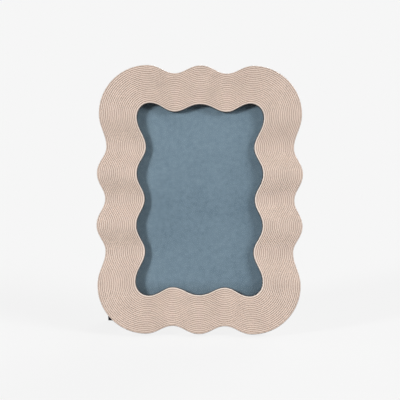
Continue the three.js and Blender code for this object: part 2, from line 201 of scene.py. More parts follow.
def makePaper():
    material, tree = newMaterial("inkedPrintPaper")
    spot = addNode(tree, "ShaderNodeTexCoord")["Object"]
    drift = [length * mm for length in paperValues["drift"]]
    drifted = addNode(tree, "ShaderNodeMapping", {"Vector": spot, "Location": drift})[0]
    cloud = addNode(tree, "ShaderNodeTexNoise", {
        "Vector": drifted, "Scale": perSize(paperValues["cloud"]), "Detail": 2})[0]
    mottle = addNode(tree, "ShaderNodeTexNoise", {
        "Vector": spot, "Scale": perSize(paperValues["mottle"]), "Detail": 3})[0]
    tooth = addNode(tree, "ShaderNodeTexNoise", {
        "Vector": spot, "Scale": perSize(paperValues["tooth"]), "Detail": 2})[0]
    ink = addNode(tree, "ShaderNodeMix", {
        0: paperValues["mottleShare"], 2: cloud, 3: mottle}, data_type="FLOAT")[0]
    apart = addNode(tree, "ShaderNodeSeparateXYZ", {0: spot})
    fadeHalf, fade = paperValues["fadeHalf"] * mm, paperValues["fade"]
    faded = addNode(tree, "ShaderNodeMapRange", {
        "Value": apart["X"], "From Min": -fadeHalf, "From Max": fadeHalf, "To Min": fade, "To Max": -fade})[0]
    uneven = addNode(tree, "ShaderNodeMath", {0: ink, 1: faded}, operation="ADD")[0]
    laydown = addNode(tree, "ShaderNodeMapRange", {"Value": uneven, **noiseSpan})[0]
    printed = addNode(tree, "ShaderNodeMix", {
        0: laydown, 6: linear(paperValues["dark"]), 7: linear(paperValues["pale"])}, data_type="RGBA")[2]
    # Painted shadow: the colour is darkened towards the low edge of the paper, along the foot of the opening
    lowEdge, lowFade = paperValues["lowEdge"] * mm, paperValues["lowFade"] * mm
    shade = addNode(tree, "ShaderNodeMapRange", {
        "Value": apart["Z"], "From Min": lowEdge, "From Max": lowEdge + lowFade,
        "To Min": paperValues["lowShadow"], "To Max": 1.0})[0]
    colour = addNode(tree, "ShaderNodeMix", {
        0: 1.0, 6: printed, 7: shade}, data_type="RGBA", blend_type="MULTIPLY")[2]
    bump = addNode(tree, "ShaderNodeBump", {
        "Height": tooth, "Strength": paperValues["toothStrength"],
        "Distance": paperValues["toothDepth"] * mm})[0]
    surface = addNode(tree, "ShaderNodeBsdfPrincipled", {
        "Base Color": colour, "Roughness": paperValues["roughness"], "Normal": bump,
        "Specular IOR Level": paperValues["specular"]})[0]
    addNode(tree, "ShaderNodeOutputMaterial", {0: surface})
    return material


# Recycled grey board: flecks of fibre, no gloss (mm)
cardValues = {
    "dark": "#948A7C", "pale": "#B4AB9E", "fibre": 1.2, "fibreTwist": 1.5, "fibreDepth": 0.05,
    "fibreStrength": 0.4, "roughness": 0.95, "specular": 0.2,
}


def makeGreyBoard():
    material, tree = newMaterial("recycledGreyBoard")
    spot = addNode(tree, "ShaderNodeTexCoord")["Object"]
    fibre = addNode(tree, "ShaderNodeTexNoise", {
        "Vector": spot, "Scale": perSize(cardValues["fibre"]), "Detail": 4,
        "Distortion": cardValues["fibreTwist"]})[0]
    colour = addNode(tree, "ShaderNodeMix", {
        0: fibre, 6: linear(cardValues["dark"]), 7: linear(cardValues["pale"])}, data_type="RGBA")[2]
    bump = addNode(tree, "ShaderNodeBump", {
        "Height": fibre, "Strength": cardValues["fibreStrength"],
        "Distance": cardValues["fibreDepth"] * mm})[0]
    surface = addNode(tree, "ShaderNodeBsdfPrincipled", {
        "Base Color": colour, "Roughness": cardValues["roughness"], "Normal": bump,
        "Specular IOR Level": cardValues["specular"]})[0]
    addNode(tree, "ShaderNodeOutputMaterial", {0: surface})
    return material


# Fibreboard faced with black flock: deep matt black with a short velvet nap and paler rubbed clouds (mm)
flockValues = {
    "nap": "#131315", "wearAndHighlight": "#242427", "rubbedSpan": (0.15, 0.4), "cloud": 16,
    "pile": 0.6, "pileDepth": 0.12, "pileStrength": 0.6, "pileRoughness": 0.7,
    "roughness": 0.92, "specular": 0.2, "sheen": 0.25, "sheenRoughness": 0.4,
}


def makeFlock():
    material, tree = newMaterial("blackFlockedBoard")
    spot = addNode(tree, "ShaderNodeTexCoord")["Object"]
    pile = addNode(tree, "ShaderNodeTexNoise", {
        "Vector": spot, "Scale": perSize(flockValues["pile"]), "Detail": 3,
        "Roughness": flockValues["pileRoughness"]})[0]
    cloud = addNode(tree, "ShaderNodeTexNoise", {
        "Vector": spot, "Scale": perSize(flockValues["cloud"]), "Detail": 3})[0]
    rub = addNode(tree, "ShaderNodeMath", {0: pile, 1: cloud}, operation="MULTIPLY")[0]
    least, most = flockValues["rubbedSpan"]
    amount = addNode(tree, "ShaderNodeMapRange", {"Value": rub, "From Min": least, "From Max": most})[0]
    colour = addNode(tree, "ShaderNodeMix", {
        0: amount, 6: linear(flockValues["nap"]), 7: linear(flockValues["wearAndHighlight"])}, data_type="RGBA")[2]
    bump = addNode(tree, "ShaderNodeBump", {
        "Height": pile, "Strength": flockValues["pileStrength"],
        "Distance": flockValues["pileDepth"] * mm})[0]
    surface = addNode(tree, "ShaderNodeBsdfPrincipled", {
        "Base Color": colour, "Roughness": flockValues["roughness"], "Normal": bump,
        "Specular IOR Level": flockValues["specular"], "Sheen Weight": flockValues["sheen"],
        "Sheen Roughness": flockValues["sheenRoughness"]})[0]
    addNode(tree, "ShaderNodeOutputMaterial", {0: surface})
    return material


# Bright zinc plate on steel: cool grey metal, slightly cloudy; sheet shows more haze than turned wire (mm)
steelValues = {
    "zincPlatedSheet": {"dark": "#A9ADB2", "pale": "#C9CCCF", "cloud": 2.5, "roughness": (0.26, 0.42)},
    "zincPlatedWire": {"dark": "#B0B3B6", "pale": "#CFD1D2", "cloud": 1.2, "roughness": (0.2, 0.32)},
    "cloudRoughness": 0.6, "cloudDepth": 0.02, "cloudStrength": 0.15,
}


def makeSteel(name):
    values = steelValues[name]
    material, tree = newMaterial(name)
    spot = addNode(tree, "ShaderNodeTexCoord")["Object"]
    cloud = addNode(tree, "ShaderNodeTexNoise", {
        "Vector": spot, "Scale": perSize(values["cloud"]), "Detail": 4,
        "Roughness": steelValues["cloudRoughness"]})[0]
    spangle = addNode(tree, "ShaderNodeMapRange", {"Value": cloud, **noiseSpan})[0]
    colour = addNode(tree, "ShaderNodeMix", {
        0: spangle, 6: linear(values["dark"]), 7: linear(values["pale"])}, data_type="RGBA")[2]
    smooth, hazy = values["roughness"]
    rough = addNode(tree, "ShaderNodeMapRange", {"Value": spangle, "To Min": hazy, "To Max": smooth})[0]
    bump = addNode(tree, "ShaderNodeBump", {
        "Height": cloud, "Strength": steelValues["cloudStrength"],
        "Distance": steelValues["cloudDepth"] * mm})[0]
    surface = addNode(tree, "ShaderNodeBsdfPrincipled", {
        "Base Color": colour, "Metallic": 1.0, "Roughness": rough, "Normal": bump})[0]
    addNode(tree, "ShaderNodeOutputMaterial", {0: surface})
    return material


satinCastResin = makeResin()
clearPictureGlass = makeGlass()
inkedPrintPaper = makePaper()
recycledGreyBoard = makeGreyBoard()
blackFlockedBoard = makeFlock()
zincPlatedSheet = makeSteel("zincPlatedSheet")
zincPlatedWire = makeSteel("zincPlatedWire")
print("materials made:", len(bpy.data.materials))


def addObject(name, data):
    piece = bpy.data.objects.new(name, data)
    bpy.context.scene.collection.objects.link(piece)
    return piece


def discard(*helpers):
    for helper in helpers:
        data = helper.data
        bpy.data.objects.remove(helper)
        (bpy.data.curves if isinstance(data, bpy.types.Curve) else bpy.data.meshes).remove(data)


def settle(piece):
    depsgraph = bpy.context.evaluated_depsgraph_get()
    mesh = bpy.data.meshes.new_from_object(
        piece.evaluated_get(depsgraph), preserve_all_data_layers=True, depsgraph=depsgraph)
    mesh.name = piece.name
    return mesh


def settleInPlace(piece):
    mesh = settle(piece)
    piece.modifiers.clear()
    piece.data = mesh
    return mesh


def setModifier(piece, kind, **settings):
    modifier = piece.modifiers.new(kind, kind)
    for name, value in settings.items():
        setattr(modifier, name, value)


def setInputs(piece, tree, values):
    modifier = piece.modifiers.new(tree.name, "NODES")
    modifier.node_group = tree
    for item in tree.interface.items_tree:
        if item.item_type == "SOCKET" and item.in_out == "INPUT" and item.name in values:
            modifier[item.identifier] = values[item.name]


# Settles the modifiers, puts the mesh on its axes, gives it material and body, and hides the nodes it
# replaces
def place(piece, axes, material, body, slot, *nodes):
    mesh = settleInPlace(piece)
    mesh.transform(axes)
    if material.name not in mesh.materials:
        mesh.materials.clear()
        mesh.materials.append(material)
    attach(piece, body)
    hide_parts(*nodes)
    return piece


def smoothByAngle(mesh):
    mesh.shade_smooth()
    mesh.set_sharp_from_angle(angle=sharpAngle)


def easeEdges(piece, width):
    setModifier(piece, "BEVEL", width=width, segments=2, limit_method="ANGLE",
                angle_limit=bevelAngle, harden_normals=True)


def meshFrom(work, name):
    mesh = bpy.data.meshes.new(name)
    work.to_mesh(mesh)
    work.free()
    return mesh


# Faces of a block between two rings of vertices that run the same way round
def closeRings(work, lower, upper):
    work.faces.new(reversed(lower))
    work.faces.new(upper)
    for step in range(len(lower)):
        after = (step + 1) % len(lower)
        work.faces.new((lower[step], lower[after], upper[after], upper[step]))


def weldMesh(mesh):
    work = bmesh.new()
    work.from_mesh(mesh)
    bmesh.ops.remove_doubles(work, verts=work.verts, dist=weld)
    bmesh.ops.recalc_face_normals(work, faces=work.faces)
    work.to_mesh(mesh)
    work.free()
    smoothByAngle(mesh)


def newTree(name, inputs):
    tree = bpy.data.node_groups.new(name, "GeometryNodeTree")
    for label, kind in inputs:
        tree.interface.new_socket(label, in_out="INPUT", socket_type="NodeSocket" + kind)
    tree.interface.new_socket("Geometry", in_out="OUTPUT", socket_type="NodeSocketGeometry")
    return tree, tree.nodes.new("NodeGroupInput").outputs


# The moulding: ribs blended between a wavy outer edge and a wavy sight edge, which dip at their valleys too,
# with rebates behind (mm)
mouldingValues = {
    "wavePitch": 40, "sideLap": 2.25, "endLap": 2.95, "sightDraft": 0.5,
    "outer": {"middleValley": 6.4, "sideValley": 7, "endValley": 6.1, "dip": 2.4,
              "tuck": 1.1, "rise": 0, "reachAcross": 37.2, "reachUp": 37},
    "sight": {"middleValley": 6.2, "sideValley": 6.85, "endValley": 5.8, "dip": 2.4,
              "tuck": -0.3, "rise": 0.7, "reachAcross": 10, "reachUp": 10},
    "crestHandle": 0.43, "valleyHandle": 0.37, "cornerHandle": 0.552,
    "ribCount": 19, "ribSteps": 8, "ribDepth": 0.6, "edgeDrop": 1.2,
    "outerBead": 1.0, "sightBead": 1.6, "beadSteps": 10, "rearEase": 0.3,
    "rebateFit": 0.6, "rebateCorner": 1, "seatGap": 0.3, "curveSteps": 20, "sideSteps": 3, "wallSteps": 4,
    "faceTrim": 0.05,  # keeps the outer bead inside the box of the solids
}


# One quarter of an edge as Bezier spans, from the middle of the right side to the middle of the top
def quarterSpans(half, edge):
    pitch = mouldingValues["wavePitch"] * mm
    x, y = half
    low = -edge["dip"] * mm
    crest, valley = mouldingValues["crestHandle"], mouldingValues["valleyHandle"]
    turns = [(Vector(spot), handle) for spot, handle in (
        ((x - edge["middleValley"] * mm, 0, low), valley),
        ((x, pitch / 2, 0), crest),
        ((x - edge["sideValley"] * mm, pitch, low), valley),
        ((x - edge["tuck"] * mm, y - edge["reachUp"] * mm, 0), crest),
        ((x - (edge["tuck"] + edge["reachAcross"]) * mm, y + edge["rise"] * mm, 0), crest),
        ((pitch / 2, y - edge["endValley"] * mm, low), valley),
        ((0, y, 0), crest),
    )]
    corner = 3  # the span that turns the corner
    spans = []
    for number, ((start, leaving), (end, arriving)) in enumerate(zip(turns, turns[1:])):
        if number == corner:
            leaving = arriving = mouldingValues["cornerHandle"]
        rise = Vector((0, (end - start).y, 0))
        run = Vector(((end - start).x, 0, 0))
        leave = start + leaving * (rise if number <= corner else run)
        arrive = end - arriving * (rise if number < corner else run)
        spans.append((start, leave, arrive, end))
    return spans


def edgeCurve(name, half, edge):
    first = quarterSpans(half, edge)
    mirrored = [[Vector((-p.x, p.y, p.z)) for p in reversed(span)] for span in reversed(first)]
    upper = first + mirrored
    spans = upper + [[Vector((-p.x, -p.y, p.z)) for p in span] for span in upper]
    curve = bpy.data.curves.new(name, "CURVE")
    curve.dimensions = "3D"
    curve.resolution_u = mouldingValues["curveSteps"]
    spline = curve.splines.new("BEZIER")
    spline.bezier_points.add(len(spans) - 1)
    spline.use_cyclic_u = True
    for number, point in enumerate(spline.bezier_points):
        point.handle_left_type = point.handle_right_type = "FREE"
        point.co = spans[number][0]
        point.handle_right = spans[number][1]
        point.handle_left = spans[number - 1][2]
    return addObject(name, curve)


# A strip between two loops of points: shares and heights run from one side to the other, ribs stand on it
def makeLoft():
    tree, given = newTree("bandLoft", [
        ("Edge A", "Geometry"), ("Edge B", "Geometry"), ("From", "Float"), ("To", "Float"),
        ("Low", "Float"), ("High", "Float"), ("Ribs", "Int"), ("Steps", "Int"),
        ("Rib depth", "Float"), ("First drop", "Float"), ("Rim", "Float"), ("Recess", "Float")])
    count = addNode(tree, "GeometryNodeAttributeDomainSize", {0: given["Edge A"]})["Point Count"]
    rows = addNode(tree, "FunctionNodeIntegerMath", {0: count, 1: 1}, operation="ADD")[0]
    lanes = addNode(tree, "FunctionNodeIntegerMath", {
        0: given["Ribs"], 1: given["Steps"]}, operation="MULTIPLY")[0]
    columns = addNode(tree, "FunctionNodeIntegerMath", {0: lanes, 1: 1}, operation="ADD")[0]
    grid = addNode(tree, "GeometryNodeMeshGrid", {"Vertices X": rows, "Vertices Y": columns})["Mesh"]
    index = addNode(tree, "GeometryNodeInputIndex")[0]
    row = addNode(tree, "FunctionNodeIntegerMath", {0: index, 1: columns}, operation="DIVIDE_FLOOR")[0]
    column = addNode(tree, "FunctionNodeIntegerMath", {0: index, 1: columns}, operation="MODULO")[0]
    around = addNode(tree, "FunctionNodeIntegerMath", {0: row, 1: count}, operation="MODULO")[0]
    spot = addNode(tree, "GeometryNodeInputPosition")[0]
    ends = [addNode(tree, "GeometryNodeSampleIndex", {0: given[edge], 1: spot, 2: around},
                    data_type="FLOAT_VECTOR")[0] for edge in ("Edge A", "Edge B")]
    along = addNode(tree, "ShaderNodeMath", {0: column, 1: lanes}, operation="DIVIDE")[0]
    share = addNode(tree, "ShaderNodeMapRange", {
        "Value": along, "To Min": given["From"], "To Max": given["To"]})[0]
    level = addNode(tree, "ShaderNodeMapRange", {
        "Value": along, "To Min": given["Low"], "To Max": given["High"]})[0]
    reach = addNode(tree, "ShaderNodeVectorMath", {0: ends[1], 1: ends[0]}, operation="SUBTRACT")[0]
    flat = addNode(tree, "ShaderNodeVectorMath", {
        0: reach, 1: share, 2: ends[0]}, operation="MULTIPLY_ADD")[0]
    step = addNode(tree, "FunctionNodeIntegerMath", {0: column, 1: given["Steps"]}, operation="MODULO")[0]
    phase = addNode(tree, "ShaderNodeMath", {0: step, 1: given["Steps"]}, operation="DIVIDE")[0]
    lean = addNode(tree, "ShaderNodeMath", {0: phase, 1: 2.0, 2: -1.0}, operation="MULTIPLY_ADD")[0]
    fall = addNode(tree, "ShaderNodeMath", {0: lean, 1: lean}, operation="MULTIPLY")[0]
    twice = addNode(tree, "FunctionNodeIntegerMath", {0: column, 1: 2}, operation="MULTIPLY")[0]
    isFirst = addNode(tree, "FunctionNodeCompare", {2: twice, 3: given["Steps"]},
                      data_type="INT", operation="LESS_THAN")[0]
    depth = addNode(tree, "GeometryNodeSwitch", {0: isFirst, 1: given["Rib depth"], 2: given["First drop"]},
                    input_type="FLOAT")[0]
    sunk = addNode(tree, "ShaderNodeMath", {0: fall, 1: depth}, operation="MULTIPLY")[0]
    height = addNode(tree, "ShaderNodeMath", {0: level, 1: sunk}, operation="SUBTRACT")[0]
    lift = addNode(tree, "ShaderNodeCombineXYZ", {"Z": height})[0]
    spotNow = addNode(tree, "ShaderNodeVectorMath", {0: flat, 1: lift}, operation="ADD")[0]
    strip = addNode(tree, "GeometryNodeSetPosition", {"Geometry": grid, "Position": spotNow})[0]
    # Crest mask: 1 on the rib crests, falling to 0 at the groove bottoms, which the resin turns into painted
    # shade
    ribbed = addNode(tree, "FunctionNodeCompare", {
        0: given["Rib depth"], 1: 0.0}, operation="GREATER_THAN")[0]
    grooveShade = addNode(tree, "ShaderNodeMath", {0: fall, 1: ribbed}, operation="MULTIPLY")[0]
    crest = addNode(tree, "ShaderNodeMath", {0: 1.0, 1: grooveShade}, operation="SUBTRACT")[0]
    # Painted highlight: on the bead at the sight edge the mask climbs past 1 towards the inner edge
    pale = addNode(tree, "ShaderNodeMath", {0: 1.0, 1: lean}, operation="ADD")[0]
    isInner = addNode(tree, "FunctionNodeCompare", {0: lean, 1: 0.0}, operation="GREATER_THAN")[0]
    rimHighlighted = addNode(tree, "ShaderNodeMath", {0: isInner, 1: given["Rim"]}, operation="MULTIPLY")[0]
    paintedLight = addNode(tree, "ShaderNodeMix", {0: rimHighlighted, 2: crest, 3: pale}, data_type="FLOAT")[0]
    marked = addNode(tree, "GeometryNodeStoreNamedAttribute", {
        "Geometry": strip, "Name": "crest", "Value": paintedLight}, data_type="FLOAT", domain="POINT")[0]
    # Recess marks the faces that the resin gives painted shade
    primed = addNode(tree, "GeometryNodeStoreNamedAttribute", {
        "Geometry": marked, "Name": "recess", "Value": given["Recess"]}, data_type="FLOAT", domain="FACE")[0]
    addNode(tree, "NodeGroupOutput", {0: primed})
    return tree


# Strips from the rear edge over the side, the face and the recess to the board rebate and back
def makeMouldingTree(loft):
    edges = ("Outer edge", "Sight edge", "Glass rebate", "Board rebate")
    tree, given = newTree("wavyMoulding", [(edge, "Object") for edge in edges] + [
        ("Depth", "Float"), ("Ledge", "Float"), ("Board seat", "Float"),
        ("Ribs", "Int"), ("Rib steps", "Int"), ("Rib depth", "Float"), ("Edge drop", "Float"),
        ("Outer bead", "Float"), ("Sight bead", "Float"), ("Bead steps", "Int"),
        ("Side steps", "Int"), ("Wall steps", "Int"), ("Rear ease", "Float"), ("Rear share", "Float"),
        ("Draft share", "Float"), ("Sharp angle", "Float"), ("Material", "Material")])
    outer, sight, glass, board = [
        addNode(tree, "GeometryNodeCurveToMesh", {
            0: addNode(tree, "GeometryNodeObjectInfo", {"Object": given[edge]})["Geometry"]})[0]
        for edge in edges]
    index = addNode(tree, "GeometryNodeInputIndex")[0]
    spot = addNode(tree, "GeometryNodeInputPosition")[0]

    def shifted(edge, other, share):
        target = addNode(tree, "GeometryNodeSampleIndex", {0: other, 1: spot, 2: index},
                         data_type="FLOAT_VECTOR")[0]
        reach = addNode(tree, "ShaderNodeVectorMath", {0: target, 1: spot}, operation="SUBTRACT")[0]
        moved = addNode(tree, "ShaderNodeVectorMath", {
            0: reach, 1: share, 2: spot}, operation="MULTIPLY_ADD")[0]
        return addNode(tree, "GeometryNodeSetPosition", {"Geometry": edge, "Position": moved})[0]

    def flattened(edge):
        level = addNode(tree, "ShaderNodeVectorMath", {0: spot, 1: (1, 1, 0)}, operation="MULTIPLY")[0]
        return addNode(tree, "GeometryNodeSetPosition", {"Geometry": edge, "Position": level})[0]

    side = flattened(outer)
    rear = flattened(shifted(outer, sight, given["Rear share"]))
    inward = addNode(tree, "ShaderNodeMath", {0: 0.0, 1: given["Draft share"]}, operation="SUBTRACT")[0]
    wall = flattened(shifted(sight, outer, inward))
    face, ledge, seat = given["Depth"], given["Ledge"], given["Board seat"]
    ribDepth, beadSteps = given["Rib depth"], given["Bead steps"]
    shoulder = addNode(tree, "ShaderNodeMath", {0: face, 1: given["Edge drop"]}, operation="SUBTRACT")[0]
    beadFoot = addNode(tree, "ShaderNodeMath", {0: face, 1: ribDepth}, operation="SUBTRACT")[0]
    beadStart = addNode(tree, "ShaderNodeMath", {0: 1.0, 1: given["Sight bead"]}, operation="SUBTRACT")[0]
    flatStrip = {"From": 0.0, "To": 1.0, "Ribs": 1, "Steps": 1, "Rib depth": 0.0, "First drop": 0.0,
                 "Rim": 0.0, "Recess": 0.0}
    ribbedStrip = {"Edge A": outer, "Edge B": sight, "Low": face, "High": face,
                   "Rib depth": ribDepth, "First drop": ribDepth}
    strips = [
        {"Edge A": rear, "Edge B": side, "Low": 0.0, "High": given["Rear ease"]},
        {"Edge A": side, "Edge B": outer, "Low": given["Rear ease"], "High": shoulder,
         "Steps": given["Side steps"]},
        {**ribbedStrip, "To": given["Outer bead"], "Steps": beadSteps, "First drop": given["Edge drop"]},
        {**ribbedStrip, "From": given["Outer bead"], "To": beadStart,
         "Ribs": given["Ribs"], "Steps": given["Rib steps"]},
        {**ribbedStrip, "From": beadStart, "Steps": beadSteps, "Rim": 1.0},
        {"Edge A": sight, "Edge B": wall, "Low": beadFoot, "High": ledge,
         "Steps": given["Wall steps"], "Recess": 1.0},
        {"Edge A": wall, "Edge B": glass, "Low": ledge, "High": ledge, "Recess": 1.0},
        {"Edge A": glass, "Edge B": glass, "Low": ledge, "High": seat, "Recess": 1.0},
        {"Edge A": glass, "Edge B": board, "Low": seat, "High": seat, "Recess": 1.0},
        {"Edge A": board, "Edge B": board, "Low": seat, "High": 0.0, "Recess": 1.0},
        {"Edge A": board, "Edge B": rear, "Low": 0.0, "High": 0.0},
    ]
    joined = tree.nodes.new("GeometryNodeJoinGeometry")
    for strip in strips:
        band = addNode(tree, "GeometryNodeGroup", {**flatStrip, **strip}, node_tree=loft)[0]
        tree.links.new(band, joined.inputs[0])
    welded = addNode(tree, "GeometryNodeMergeByDistance", {
        "Geometry": joined.outputs[0], "Distance": weld})[0]
    smooth = addNode(tree, "GeometryNodeSetShadeSmooth", {"Geometry": welded, "Shade Smooth": True})[0]
    angle = addNode(tree, "GeometryNodeInputMeshEdgeAngle")["Unsigned Angle"]
    isSharp = addNode(tree, "FunctionNodeCompare", {
        0: angle, 1: given["Sharp angle"]}, operation="GREATER_THAN")[0]
    creased = addNode(tree, "GeometryNodeSetShadeSmooth", {
        "Geometry": smooth, "Selection": isSharp, "Shade Smooth": False}, domain="EDGE")[0]
    plain = addNode(tree, "GeometryNodeRealizeInstances", {0: creased})[0]
    painted = addNode(tree, "GeometryNodeSetMaterial", {"Geometry": plain, "Material": given["Material"]})[0]
    addNode(tree, "NodeGroupOutput", {0: painted})
    return tree


def buildMoulding():
    values = mouldingValues
    glassLow, glassHigh = boxOn(standing, "glass_pane")
    boardLow, boardHigh = boxOn(standing, "backboard")
    glassSize, boardSize = glassHigh - glassLow, boardHigh - boardLow
    fit = values["rebateFit"] * mm
    square = dict.fromkeys(("middleValley", "sideValley", "endValley", "dip", "tuck", "rise"), 0)
    square["reachAcross"] = square["reachUp"] = values["rebateCorner"]
    halves = {
        "Outer edge": (frameSize.x / 2, frameSize.y / 2),
        "Sight edge": (glassSize.x / 2 - values["sideLap"] * mm, glassSize.y / 2 - values["endLap"] * mm),
        "Glass rebate": (glassSize.x / 2 + fit, glassSize.y / 2 + fit),
        "Board rebate": (boardSize.x / 2 + fit, boardSize.y / 2 + fit),
    }
    shapes = {"Outer edge": values["outer"], "Sight edge": values["sight"]}
    helpers = {edge: edgeCurve(edge.replace(" ", ""), half, shapes.get(edge, square))
               for edge, half in halves.items()}
    endBand = halves["Outer edge"][1] - halves["Sight edge"][1]
    tree = makeMouldingTree(makeLoft())
    moulding = addObject("wavyMoulding", bpy.data.meshes.new("wavyMoulding"))
    setInputs(moulding, tree, {
        **helpers,
        "Depth": frameSize.z - values["faceTrim"] * mm,
        "Ledge": glassHigh.z + values["seatGap"] * mm,
        "Board seat": boardHigh.z + values["seatGap"] * mm,
        "Ribs": values["ribCount"],
        "Rib steps": values["ribSteps"],
        "Rib depth": values["ribDepth"] * mm,
        "Edge drop": values["edgeDrop"] * mm,
        "Outer bead": values["outerBead"] * mm / endBand,
        "Sight bead": values["sightBead"] * mm / endBand,
        "Bead steps": values["beadSteps"],
        "Side steps": values["sideSteps"],
        "Wall steps": values["wallSteps"],
        "Rear ease": values["rearEase"] * mm,
        "Rear share": values["rearEase"] * mm / endBand,
        "Draft share": values["sightDraft"] * mm / endBand,
        "Sharp angle": sharpAngle,
        "Material": satinCastResin,
    })
    place(moulding, standing, satinCastResin, "frame", "resin_moulding", "front_frame")
    discard(*helpers.values())
    return moulding


moulding = buildMoulding()
print("moulding made:", len(moulding.data.polygons), "faces")


# Flat plates from outlines, anticlockwise round the outside and clockwise round holes
def plateObject(name, outlines, thickness, edge, middle, edgeSteps=2):
    curve = bpy.data.curves.new(name, "CURVE")
    curve.dimensions = "2D"
    curve.fill_mode = "BOTH"
    curve.extrude = thickness / 2 - edge
    curve.bevel_depth = edge
    curve.bevel_resolution = edgeSteps
    curve.offset = -edge
    for outline in outlines:
        spline = curve.splines.new("POLY")
        spline.points.add(len(outline) - 1)
        spline.use_cyclic_u = True
        for point, (x, y) in zip(spline.points, outline):
            point.co = (x, y, 0, 1)
    source = addObject(name + "Outline", curve)
    mesh = settle(source)
    mesh.name = name
    discard(source)
    mesh.transform(Matrix.Translation((0, 0, middle)))
    weldMesh(mesh)
    piece = addObject(name, mesh)
    setModifier(piece, "WEIGHTED_NORMAL", keep_sharp=True)
    return piece


def arc(x, y, radius, start, end, steps):
    angles = [start + (end - start) * step / steps for step in range(steps + 1)]
    return [(x + radius * math.cos(angle), y + radius * math.sin(angle)) for angle in angles]


def roundedRectangle(size, radius, steps=8):
    right, up = size.x / 2 - radius, size.y / 2 - radius
    quarter = math.pi / 2
    corners = ((right, up), (-right, up), (-right, -up), (right, -up))
    return [point for number, (x, y) in enumerate(corners)
            for point in arc(x, y, radius, number * quarter, (number + 1) * quarter, steps)]


# Glass and backboard (mm)
paneValues = {"glassCorner": 0.6, "glassEdge": 0.25, "boardCorner": 2, "boardEdge": 0.35}


def buildPane(name, node, corner, edge, material, slot):
    low, high = boxOn(standing, node)
    outline = roundedRectangle(high - low, corner * mm)
    piece = plateObject(name, [outline], high.z - low.z, edge * mm, (low.z + high.z) / 2)
    place(piece, standing, material, "frame", slot, node)


buildPane("glassPane", "glass_pane", paneValues["glassCorner"], paneValues["glassEdge"],
          clearPictureGlass, "float_glass")
buildPane("backPanel", "backboard", paneValues["boardCorner"], paneValues["boardEdge"],
          blackFlockedBoard, "flocked_board")
for node, material in (("insert_card", inkedPrintPaper), ("packing_card", recycledGreyBoard)):
    card = frame["nodes"][node].data
    card.materials.clear()
    card.materials.append(material)
print("glass, board and cards made")

# Turn buttons: stamped teardrops with eased edges (mm)
buttonValues = {"tail": 5, "nose": 3.2, "reach": 13, "hole": 1.7, "edge": 0.2, "steps": 28}


def buildButton(side):
    values = buttonValues
    node = "turn_button_" + side
    low, high = boxOn(standing, node)
    pivot = standing.inverted() @ pivots[side]
    aim = (low + high) / 2 - pivot
    noseCentre = values["reach"] - values["nose"]
    slope = math.asin((values["tail"] - values["nose"]) / noseCentre)
    outline = arc(0, 0, values["tail"], math.pi - slope, 2 * math.pi + slope, values["steps"])
    outline += arc(0, noseCentre, values["nose"], slope, math.pi - slope, values["steps"])
    hole = arc(0, 0, values["hole"], 2 * math.pi, 0, values["steps"])[:-1]
    scaled = [[(x * mm, y * mm) for x, y in loop] for loop in (outline, hole)]
    piece = plateObject("turnButton" + side.title(), scaled, high.z - low.z, values["edge"] * mm, 0)
    spin = Matrix.Rotation(math.atan2(-aim.x, aim.y), 4, "Z")
    axes = standing @ Matrix.Translation((pivot.x, pivot.y, (low.z + high.z) / 2)) @ spin
    return place(piece, axes, zincPlatedSheet, "button_" + side, "plated_steel", node)


buttons = [buildButton(side) for side in sides]
print("turn buttons made:", len(buttons))


# Round pieces turned about z from (radius, height) pairs
def turnedMesh(name, profile, steps):
    work = bmesh.new()
    rings = []
    for radius, height in profile:
        ring = arc(0, 0, radius, 0, 2 * math.pi, steps)[:-1] if radius > weld else [(0, 0)]
        rings.append([work.verts.new((x, y, height)) for x, y in ring])
    for ring, following in zip(rings, rings[1:]):
        for step in range(steps):
            corners = [ring[step % len(ring)], ring[(step + 1) % len(ring)],
                       following[(step + 1) % len(following)], following[step % len(following)]]
            work.faces.new(list(dict.fromkeys(corners)))
    mesh = meshFrom(work, name)
    weldMesh(mesh)
    return mesh


# Domed head below z = 0 with a rounded rim, shank above
def fastenerProfile(radius, height, rim, shank, length, point, steps=8):
    crown = height - rim
    rise = (radius * radius + crown * crown) / (2 * crown)
    half = math.asin(radius / rise)
    dome = [(rise * math.sin(half * step / steps), rise - height - rise * math.cos(half * step / steps))
            for step in range(steps + 1)]
    return dome + [(radius, 0), (shank, 0), (shank, length - point), (0, length)]


# Screws with a tapered cross recess and plain rivets (mm)
fastenerValues = {
    "screw": {"radius": 3, "height": 1.8, "rim": 0.35, "shank": 1.4, "length": 8, "point": 2},
    "rivet": {"radius": 2.2, "height": 0.9, "rim": 0.2, "shank": 1.2, "length": 4.4, "point": 0},
    "steps": 32, "recessReach": 1.7, "recessWidth": 0.34, "recessDepth": 1.0, "recessOvercut": 0.5,
    "recessTaper": (0.45, 0.8), "seed": 7,
}


def crossCutter(name):
    reach, width = fastenerValues["recessReach"] * mm, fastenerValues["recessWidth"] * mm
    top = -(fastenerValues["screw"]["height"] + fastenerValues["recessOvercut"]) * mm
    floor = (fastenerValues["recessDepth"] - fastenerValues["screw"]["height"]) * mm
    along, beside = fastenerValues["recessTaper"]
    arm = [(reach, -width), (reach, width), (width, width)]
    outline = []
    for turn in range(4):
        outline += arm
        arm = [(-y, x) for x, y in arm]
    work = bmesh.new()
    upper = [work.verts.new((x, y, top)) for x, y in outline]
    lower = [work.verts.new((x * (along if abs(x) > abs(y) else beside),
                             y * (along if abs(y) > abs(x) else beside), floor)) for x, y in outline]
    closeRings(work, lower, upper)
    bmesh.ops.recalc_face_normals(work, faces=work.faces)
    return addObject(name, meshFrom(work, name))


